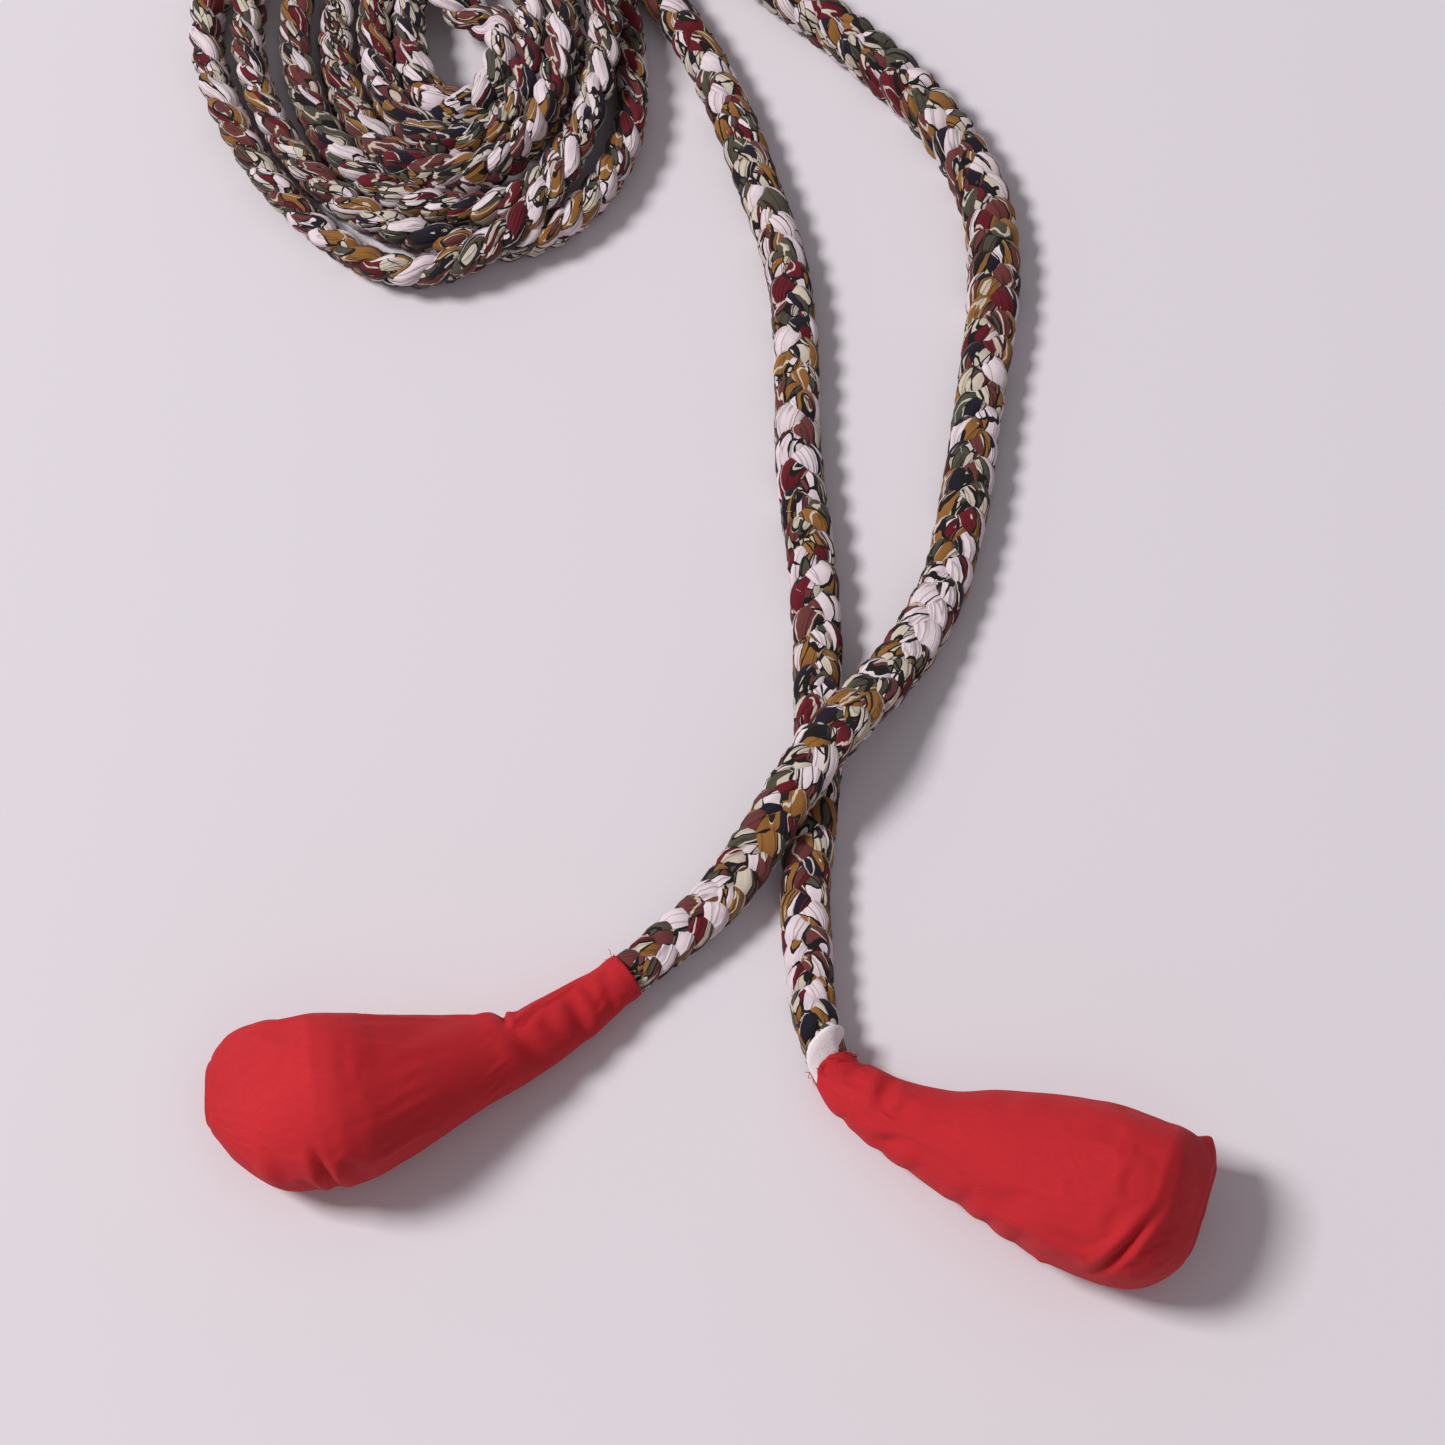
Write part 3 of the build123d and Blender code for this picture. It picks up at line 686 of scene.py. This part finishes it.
# Each section is a station along the spine, the cloth's reach to the right and to the left
# of it, and the height of its lowest and highest point, in mm. A crease runs from one
# (station, degrees) to another and has a width and a depth. 0 degrees is the right, 90 the
# top and 180 the left.
handleShapes = {
    "left": {
        "mouth": (-22.3, 44.7), "heading": 217,
        "spine": [(-32, 37.4), (-42.5, 29.5), (-54, 21), (-69, 14.8), (-89, 8.6), (-110, 5),
                  (-138, 3.6), (-146, 3.4)],
        "sections": [(0, 6.4, 6.5, 1.8, 14.6), (6, 6.6, 6.9, 1.4, 15), (14, 7.2, 8.2, 1, 16),
                     (28, 8.9, 9.2, 0.4, 19.3), (36.5, 9.7, 9, 0.2, 21.4),
                     (40, 12.8, 9.4, 0, 23.4), (47, 14, 10.6, 0, 26), (55, 15.6, 13, 0, 29.6),
                     (65, 17.8, 16.6, 0, 33.8), (75, 19.7, 20.4, 0, 38), (84, 20.9, 24.2, 0, 41.8),
                     (90, 21.5, 25.4, 0, 43), (94, 21.9, 25.2, 0, 42.6), (98, 22.2, 25, 0.1, 40.4),
                     (104, 22.8, 24.6, 0.3, 36.4), (109, 23.4, 22.2, 0.8, 32.6),
                     (115, 23, 17.6, 1.8, 27.2), (120, 21.6, 12.8, 3.2, 22.2),
                     (123, 19, 8.6, 5.2, 18.8), (125, 14.8, 4.4, 7.6, 15.8)],
        "closing": 2.0,
        "creases": [((36.8, 5), (39.6, 74), 1.4, 3.2), ((39.6, 66), (33, 165), 2.4, 1.5),
                    ((92, 200), (96.3, 136), 1.25, 3.6), ((103, 185), (106.5, 128), 2.4, 1.6),
                    ((86, 196), (88.5, 150), 2.2, 1.5), ((97, 200), (99, 165), 1.8, 1.0),
                    ((18, 70), (22, 196), 2.0, 1.5), ((7, 80), (11, 192), 1.5, 0.9),
                    ((26, 60), (29, 130), 2.2, 0.9), ((12, 50), (13, 110), 1.6, 0.7),
                    ((50, 40), (76, 70), 4.5, 0.8), ((108, 40), (98, 60), 4.0, 0.6)],
        "corners": [], "hems": [(5, 0.7, 0.4)],
        "plaitEnd": 24,
        "fray": {"density": 1.2e5, "length": 2.2, "thickness": 0.09, "seed": 3},
    },
    "right": {
        "mouth": (34.2, 19.2), "heading": -70,
        "spine": [(35.5, 15.5), (38.2, 11.4), (42.8, 8), (51.5, 2.2), (62.5, -3),
                  (75.5, -8.8), (104, -20.8), (136, -32), (142, -34)],
        "sections": [(0, 5.6, 6.6, 1.8, 14.4), (5, 5.9, 8.2, 1.5, 15), (12, 7.4, 10.2, 0.8, 16.4),
                     (24, 9.6, 10.9, 0.3, 20), (36, 12.2, 12.5, 0, 24.6), (49, 15.6, 17.1, 0, 30.6),
                     (65, 19.8, 21.2, 0, 37), (82, 22.9, 23.6, 0, 41.4), (92, 23.6, 23.6, 0, 42.9),
                     (100, 22.6, 23.7, 0.4, 42.6), (104, 20.8, 23.8, 0.8, 40.4),
                     (107.5, 18, 23.4, 1.8, 36), (110.5, 14.4, 22.2, 3.4, 30.4),
                     (112.5, 10.4, 20.6, 5.2, 25.6), (113.5, 7.5, 18.6, 6.5, 22.5)],
        "closing": 1.5,
        "creases": [((91, 6), (102.4, 78), 1.6, 3.6), ((101, 28), (107.4, 80), 2.0, 1.1),
                    ((23, 58), (18.6, 155), 2.4, 2.1), ((24, 52), (30, 108), 2.6, 1.6),
                    ((25, 16), (32.4, 62), 2.6, 1.7), ((50, -30), (56, 44), 2.4, 0.9),
                    ((34, -30), (39, 40), 2.2, 0.7), ((59, -30), (63, 26), 2.2, 0.6),
                    ((25, -40), (27, 8), 1.6, 0.6), ((12.6, -40), (15, 30), 1.5, 0.7),
                    ((69, -30), (72, 20), 2.4, 0.7), ((58, 30), (70, 52), 3.6, 0.7),
                    ((7, 60), (10, 130), 1.8, 0.7), ((56, 165), (52, 120), 3.0, 0.8),
                    ((110, 100), (106, 150), 3.0, 0.8)],
        "corners": [(110.5, 172, 2.4, 3.4), (77.4, -10, 1.4, 1.0)], "hems": [(3.6, 0.7, 0.35)],
        "plaitEnd": 20,
        "fray": {"density": 4e5, "length": 3.2, "thickness": 0.09, "seed": 3},
    },
}
clothLook = {
    "rings": 112, "sides": 104, "wall": 0.45, "lumps": 0.35,
    # cloth beyond what the stuffing fills: the most, and its share along the handle
    "spareCloth": 0.12,
    "spareAt": [(0, 0.4), (0.1, 0.8), (0.35, 0.9), (0.5, 0.35), (0.65, 0.3), (0.8, 0.8),
                (0.92, 1), (1, 0.5)],
    "scale": 10, "frames": 18, "stiffness": 0.3, "slowSteps": 60, "foldGain": 2.0,
    "reach": 3.0, "roomAt": [(0, 0.5), (30, 0.6), (50, 2.0), (130, 2.4)],
    "coreGap": 0.9, "waddingGap": 3.4, "clearance": 0.1,
}


def spineCurve(shape):
    # a dense smooth line through the spine's points, straight where it leaves the mouth
    start = np.array(shape["mouth"], float)
    heading = math.radians(shape["heading"])
    ahead = np.array([math.cos(heading), math.sin(heading)])
    knots = [start - ahead * 10, start] + [np.array(p, float) for p in shape["spine"]]
    knots.append(2 * knots[-1] - knots[-2])
    line = []
    for before, p0, p1, after in zip(knots, knots[1:], knots[2:], knots[3:]):
        for t in np.linspace(0, 1, 40, endpoint=False):
            line.append(0.5 * (2 * p0 + (p1 - before) * t
                               + (2 * before - 5 * p0 + 4 * p1 - after) * t ** 2
                               + (3 * p0 - before - 3 * p1 + after) * t ** 3))
    line = np.array(line)
    return line, np.concatenate([[0], np.cumsum(np.linalg.norm(np.diff(line, axis=0), axis=1))])


def smoothTable(stations, xs, ys):
    # a monotone cubic through the sections, so that nothing overshoots
    xs, ys = np.array(xs, float), np.array(ys, float)
    steps = np.diff(xs)
    slopes = np.diff(ys) / steps
    tangents = np.zeros(len(xs))
    tangents[0], tangents[-1] = slopes[0], slopes[-1]
    for i in range(1, len(xs) - 1):
        if slopes[i - 1] * slopes[i] > 0:
            before = 2 * steps[i] + steps[i - 1]
            after = steps[i] + 2 * steps[i - 1]
            tangents[i] = (before + after) / (before / slopes[i - 1] + after / slopes[i])
    i = np.clip(np.searchsorted(xs, stations) - 1, 0, len(xs) - 2)
    t = np.clip((stations - xs[i]) / steps[i], 0, 1)
    rise = 3 * t ** 2 - 2 * t ** 3
    return (ys[i] + (ys[i + 1] - ys[i]) * rise
            + steps[i] * (tangents[i] * (t ** 3 - 2 * t ** 2 + t)
                          + tangents[i + 1] * (t ** 3 - t ** 2)))


def creaseRelief(stations, angles, radius, shape):
    # how far each point stands in or out, in mm: a valley with a softer ridge on one side,
    # a slight lip on the other, and ends that fade out
    relief = np.zeros((len(stations), len(angles)))
    for (s0, a0), (s1, a1), wide, deep in shape["creases"]:
        a0, a1 = math.radians(a0), math.radians(a1)
        around = (angles[None, :] - (a0 + a1) / 2 + math.pi) % math.tau - math.pi
        x = stations[:, None] - (s0 + s1) / 2
        y = around * radius[:, None]
        dx = s1 - s0
        dy = (a1 - a0) * float(np.interp((s0 + s1) / 2, stations, radius))
        length = math.hypot(dx, dy)
        along = (x * dx + y * dy) / length
        off = (y * dx - x * dy) / length
        fade = np.clip(1 - (np.abs(along) / (0.62 * length)) ** 2, 0, 1) ** 1.5
        valley = np.exp(-(off / wide) ** 2)
        ridge = np.exp(-((off - 1.9 * wide) / (1.5 * wide)) ** 2)
        lip = np.exp(-((off + 1.9 * wide) / (1.5 * wide)) ** 2)
        relief += fade * deep * (0.5 * ridge + 0.12 * lip - valley)
    for station, wide, deep in shape["hems"]:
        edge = (stations - station) / wide
        relief += deep * (0.6 * smoothStep(1, -1, edge) - np.exp(-edge ** 2))[:, None]
    for station, degrees, wide, high in shape["corners"]:
        around = (angles[None, :] - math.radians(degrees) + math.pi) % math.tau - math.pi
        gap = np.hypot(stations[:, None] - station, around * radius[:, None])
        relief += high * np.exp(-(gap / wide) ** 2)
    return relief


def handleRings(shape, look, shrink=0.0, start=0.0):
    # points in rings along the spine, and the same flattened for the weave, all in mm
    line, distance = spineCurve(shape)
    last = shape["sections"][-1][0] - 1.5 * shrink
    # rings stand closer together towards the closed end
    stations = start + (last - start) * (1 - (1 - np.linspace(0, 1, look["rings"])) ** 1.2)
    columns = list(zip(*shape["sections"]))
    toRight, toLeft, bottom, top = (smoothTable(stations, columns[0], c) for c in columns[1:])
    centre = np.stack([np.interp(stations, distance, line[:, i]) for i in (0, 1)], axis=1)
    ahead = unit(np.gradient(centre, stations, axis=0))
    rightward = np.stack([ahead[:, 1], -ahead[:, 0]], axis=1)
    # the first column of points runs along the bottom, out of sight
    angles = np.linspace(-math.pi / 2, 1.5 * math.pi, look["sides"], endpoint=False)
    cosine, sine = np.cos(angles), np.sin(angles)
    radius = (toRight + toLeft + top - bottom) / 4
    relief = creaseRelief(stations, angles, radius, shape) - shrink
    middle = (top + bottom) / 2
    # the stuffed part is a little squarer than an ellipse
    power = 2 / (2 + 0.45 * smoothStep(50, 90, stations))
    rings, flat = [], []
    for i, station in enumerate(stations):
        reach = np.where(cosine >= 0, toRight[i], toLeft[i])
        x = np.sign(cosine) * np.abs(cosine) ** power[i] * reach
        z = np.sign(sine) * np.abs(sine) ** power[i] * (top[i] - bottom[i]) / 2
        scale = 1 + relief[i] / np.maximum(np.hypot(x, z), 3)
        rings.append(np.column_stack([centre[i] + rightward[i] * (x * scale)[:, None],
                                      z * scale + middle[i]]))
        flat.append(np.column_stack([np.full(len(angles), station), angles * radius[i],
                                     np.zeros(len(angles))]))
    # the closed end: rings that shrink onto its middle
    closingRings = 7
    end, hub = rings[-1], rings[-1].mean(axis=0)
    for step in range(1, closingRings + 1):
        turn = math.pi / 2 * step / (closingRings + 0.5)
        ring = hub + (end - hub) * math.cos(turn)
        ring[:, :2] += ahead[-1] * shape["closing"] * math.sin(turn)
        rings.append(ring)
        flat.append(flat[-1] + (radius[-1] / closingRings, 0, 0))
    points = np.concatenate(rings)
    points[:, 2] = np.maximum(points[:, 2], look["clearance"] + shrink)
    return points, np.concatenate(flat), len(rings)


def ringObject(name, points, ringCount, sides, material, bothEnds=False):
    faces = [(i * sides + j, (i + 1) * sides + j,
              (i + 1) * sides + (j + 1) % sides, i * sides + (j + 1) % sides)
             for i in range(ringCount - 1) for j in range(sides)]
    faces.append(tuple(range(ringCount * sides - 1, (ringCount - 1) * sides - 1, -1)))
    if bothEnds:
        faces.append(tuple(range(sides)))
    return meshObject(name, points * mm, faces, material)


def makeThreadTree():
    # loose threads that stand out of a surface and curl
    lean, bendsPerMetre, curl = (1.3, 1.3, 3.1), 330.0, 2.4
    tree, source, result = newTree("loose threads", [
        ("Density", "Float"), ("Length", "Float"), ("Thickness", "Float"), ("Seed", "Int"),
        ("Material", "Material")])
    given = source.outputs
    spots = addNode(tree, "GeometryNodeDistributePointsOnFaces", {
        "Mesh": given["Geometry"], "Density": given["Density"], "Seed": given["Seed"]})
    tip = addNode(tree, "ShaderNodeCombineXYZ", {2: given["Length"]})
    straight = addNode(tree, "GeometryNodeCurvePrimitiveLine", {"End": tip})
    line = addNode(tree, "GeometryNodeResampleCurve", {"Curve": straight, "Count": 10})
    turn = addNode(tree, "FunctionNodeRandomValue", {
        0: [-most for most in lean], 1: lean}, data_type="FLOAT_VECTOR")
    size = addNode(tree, "FunctionNodeRandomValue", {2: 0.35, 3: 1.1}, data_type="FLOAT")
    placed = addNode(tree, "GeometryNodeInstanceOnPoints", {
        "Points": spots.outputs["Points"], "Instance": line, "Rotation": turn.outputs[0],
        "Scale": size.outputs[1]})
    real = addNode(tree, "GeometryNodeRealizeInstances", {0: placed})
    place = addNode(tree, "GeometryNodeInputPosition")
    bends = addNode(tree, "ShaderNodeTexNoise", {"Vector": place, "Scale": bendsPerMetre})
    centred = addNode(tree, "ShaderNodeVectorMath", {
        0: bends.outputs["Color"], 1: (0.5, 0.5, 0.5)}, operation="SUBTRACT")
    share = addNode(tree, "GeometryNodeSplineParameter")
    along = addNode(tree, "ShaderNodeMath", {0: share, 1: given["Length"]},
                    operation="MULTIPLY")
    reach = addNode(tree, "ShaderNodeMath", {0: along, 1: curl}, operation="MULTIPLY")
    shift = addNode(tree, "ShaderNodeVectorMath", {0: centred, "Scale": reach},
                    operation="SCALE")
    curled = addNode(tree, "GeometryNodeSetPosition", {0: real, "Offset": shift})
    circle = addNode(tree, "GeometryNodeCurvePrimitiveCircle", {
        "Resolution": 4, "Radius": given["Thickness"]})
    swept = addNode(tree, "GeometryNodeCurveToMesh", {"Curve": curled, "Profile Curve": circle})
    coloured = addNode(tree, "GeometryNodeSetMaterial", {0: swept, "Material": given["Material"]})
    tree.links.new(coloured.outputs[0], result.inputs[0])
    return tree


threadTree = makeThreadTree()
fuzzLook = {"density": 2500.0, "length": 3.2, "thickness": 0.06, "seed": 7}


def growThreads(piece, look, material, body):
    runTree(piece, threadTree, {
        "Density": look["density"], "Length": look["length"] * mm,
        "Thickness": look["thickness"] * mm, "Seed": look["seed"], "Material": material})
    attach(piece, body)


growThreads(fuzz, fuzzLook, paleCotton, "rope")


def softFolds(move, ringCount, sides, look):
    # the cloth's movement without its slow part, the bag growing longer and wider
    grid = move.reshape(ringCount, sides, 3)
    slow = grid.copy()
    for _ in range(look["slowSteps"]):
        slow = 0.5 * slow + 0.25 * (np.roll(slow, 1, axis=1) + np.roll(slow, -1, axis=1))
        ends = np.concatenate([slow[:1], slow, slow[-1:]])
        slow = 0.5 * slow + 0.25 * (ends[:-2] + ends[2:])
    return (grid - slow).reshape(-1, 3)


def settleCloth(cloth, core, stations, away, look):
    # cloth simulation at ten times the size: the bag is cut a little larger than its
    # stuffing and is drawn onto it, so that it buckles into soft folds
    scene = bpy.context.scene
    before = np.array([v.co[:] for v in cloth.data.vertices])
    bag = newObject("bag", cloth.data.copy())
    filling = newObject("filling", core.data.copy())
    for piece in (bag, filling):
        piece.data.transform(Matrix.Scale(look["scale"], 4))
    filling.modifiers.new("touch", "COLLISION")
    filling.collision.thickness_outer = 0.003
    filling.collision.cloth_friction = 1.0
    held = bag.vertex_groups.new(name="held")
    spare = bag.vertex_groups.new(name="spare")
    last = stations.max()
    for index, station in enumerate(stations):
        hold = max(1 - smoothStep(0, 5, station), 0.6 * smoothStep(last - 5, last, station))
        held.add([index], float(hold), "REPLACE")
        share = np.interp(station / last, *zip(*look["spareAt"]))
        spare.add([index], float(share), "REPLACE")
    modifier = bag.modifiers.new("cloth", "CLOTH")
    settings = modifier.settings
    settings.quality = 5
    settings.mass = 0.3
    settings.tension_stiffness = settings.compression_stiffness = 15
    settings.shear_stiffness = 5
    settings.bending_stiffness = look["stiffness"]
    settings.air_damping = 1
    settings.use_pressure = True
    settings.uniform_pressure_force = -1
    settings.vertex_group_mass = "held"
    settings.vertex_group_shrink = "spare"
    settings.shrink_min = 0
    settings.shrink_max = -look["spareCloth"]
    settings.effector_weights.gravity = 0
    modifier.collision_settings.distance_min = 0.003
    modifier.collision_settings.friction = 1
    scene.frame_start, scene.frame_end = 1, look["frames"]
    modifier.point_cache.frame_start, modifier.point_cache.frame_end = 1, look["frames"]
    for frameNumber in range(1, look["frames"] + 1):
        scene.frame_set(frameNumber)
    graph = bpy.context.evaluated_depsgraph_get()
    settled = bag.evaluated_get(graph).to_mesh()
    after = np.array([v.co[:] for v in settled.vertices]) / look["scale"]
    for piece in (bag, filling):
        bpy.data.objects.remove(piece)
    scene.frame_set(1)
    folds = softFolds(after - before, len(before) // look["sides"], look["sides"], look) / mm
    folds *= look["foldGain"]
    size = np.linalg.norm(folds, axis=1)
    print("folds", size.mean(), "to", size.max(), "mm")
    folds *= np.minimum(1, look["reach"] / np.maximum(size, 1e-6))[:, None]
    # the plait in the neck and the wadding in the bag stay covered
    room = np.interp(stations, *zip(*look["roomAt"]))
    depth = np.sum(folds * away, axis=1)
    folds -= away * np.minimum(0, depth + room)[:, None]
    places = before + folds * mm
    places[:, 2] = np.maximum(places[:, 2], look["clearance"] * mm)
    cloth.data.vertices.foreach_set("co", places.ravel())
    cloth.data.update()


def makeHandle(side, shape, look):
    points, flat, ringCount = handleRings(shape, look)
    stations = flat[:, 0].copy()
    sides = look["sides"]
    lumps = np.array([noise.noise(Vector(p) * 0.05) + 0.5 * noise.noise(Vector(p) * 0.13)
                      for p in points])
    hubs = points.reshape(ringCount, sides, 3).mean(axis=1).repeat(sides, axis=0)
    away = points - hubs
    away /= np.maximum(np.linalg.norm(away, axis=1), 1)[:, None]
    points += away * (lumps * look["lumps"] * smoothStep(10, 50, stations))[:, None]
    points[:, 2] = np.maximum(points[:, 2], look["clearance"])
    cloth = ringObject(f"{side}_handle_cloth", points, ringCount, sides, redCotton)
    storeVectors(cloth, "cloth", flat * mm)
    lift = next(j for j in frame["joints"] if j["name"] == f"{side}_handle_lift")
    fold = Vector(lift["pos_m"])
    foldStation = (fold / mm - Vector((*shape["mouth"], 0))).to_2d().length
    inner, _, innerCount = handleRings(shape, look, look["waddingGap"], foldStation + 6)
    stuffing = ringObject(f"{side}_handle_wadding", inner, innerCount, sides, wadding,
                          bothEnds=True)
    whole, _, wholeCount = handleRings(shape, look, look["coreGap"], 6)
    core = ringObject("core", whole, wholeCount, sides, wadding, bothEnds=True)
    settleCloth(cloth, core, stations, away, look)
    bpy.data.objects.remove(core)
    rim = np.array([p.co[:] for p in cloth.data.vertices[:3 * sides]]) / mm
    fray = ringObject(f"{side}_frayed_threads", rim, 3, sides, redThread)
    growThreads(fray, shape["fray"], redThread, f"{side}_neck")
    finer = cloth.modifiers.new("finer", "SUBSURF")
    finer.levels = finer.render_levels = 1
    wall = cloth.modifiers.new("cloth thickness", "SOLIDIFY")
    wall.thickness = look["wall"] * mm
    wall.offset = -1
    applied(cloth)
    for piece in (cloth, stuffing):
        piece.data.polygons.foreach_set("use_smooth", [True] * len(piece.data.polygons))
    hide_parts(f"{side}_neck_sleeve", f"{side}_handle_cover",
                f"{side}_neck_stitches", f"{side}_sleeve_seam", f"{side}_side_seam",
                f"{side}_end_seam")
    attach(stuffing, f"{side}_handle")
    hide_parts(f"{side}_handle_stuffing")
    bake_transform(cloth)


for side, shape in handleShapes.items():
    makeHandle(side, shape, clothLook)
print("handles made")

# the plait's last stretch, squeezed narrow in the sleeve
neckPlaitLook = {
    **plaitLook, "widthAt": [(0, 11.4), (0.15, 10.6), (1, 10)], "rollAt": [(0, 20), (1, 20)],
    "repeatAt": [(0, 1.5), (1, 1.5)], "seed": 8, "height": 8.2,
}


def makeNeckPlait(side, shape, look):
    line, distance = spineCurve(shape)
    stations = np.linspace(0, shape["plaitEnd"], 30)
    route = [(*(np.interp(s, distance, line[:, i]) for i in (0, 1)), look["height"])
             for s in stations]
    pieces = makeStrands(f"{side}_neck_strand", np.array(route) * mm, f"{side}_neck", look,
                         strandLook)
    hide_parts(f"{side}_plait_end")


for side, shape in handleShapes.items():
    makeNeckPlait(side, shape, neckPlaitLook)
print("neck plaits made")

# the undyed end of one strip, turned over the plait and tucked into the right sleeve
stripEndLook = {
    "route": [(37, 25.4, 8.5), (36.2, 24.4, 12.4), (34.4, 22.4, 14.6), (32.2, 20, 14.4),
              (31, 17, 12.6), (31.8, 13, 9.6)],
    "reach": [2.6, 4.2, 5, 4.6, 3, 1.4], "height": [0.9, 1.2, 1.3, 1.3, 1.2, 1],
    "points": 40, "length": 20, "twist": 60.0, "depth": 0.11, "sides": 28,
    "rodRadius": 3.0,
}


def makeStripEnd(name, look, body):
    share = np.linspace(0, 1, look["points"])
    knots = np.linspace(0, 1, len(look["route"]))
    route = np.stack([smoothTable(share, knots, c) for c in zip(*look["route"])], axis=1)
    ahead = unit(np.gradient(route, axis=0))
    hub = np.array(rightRun[1])
    side = unit(np.cross(ahead, unit(route - hub + (0, 0, 4))))
    top = np.cross(side, ahead)
    reach, height = (smoothTable(share, knots, look[key]) * mm for key in ("reach", "height"))
    stations = share * look["length"] * mm
    path = lineObject(name, route * mm)
    storeVectors(path, "side", side * reach[:, None])
    storeVectors(path, "top", top * height[:, None])
    storeNumbers(path, "turn", stations * look["twist"])
    storeNumbers(path, "depth", np.full(len(share), look["depth"]))
    storeNumbers(path, "rodStart", stations)
    sweepStrip(path, look, paleCotton, body)


makeStripEnd("right_strip_end", stripEndLook, "right_neck")
print("strip end made")

# the solids inside the handles
for side in ("left", "right"):
    for part, material in (("strand_tails", paleCotton), ("end_binding", redThread),
                           ("handle_stuffing", wadding)):
        for slot in frame["nodes"][f"{side}_{part}"].material_slots:
            slot.material = material
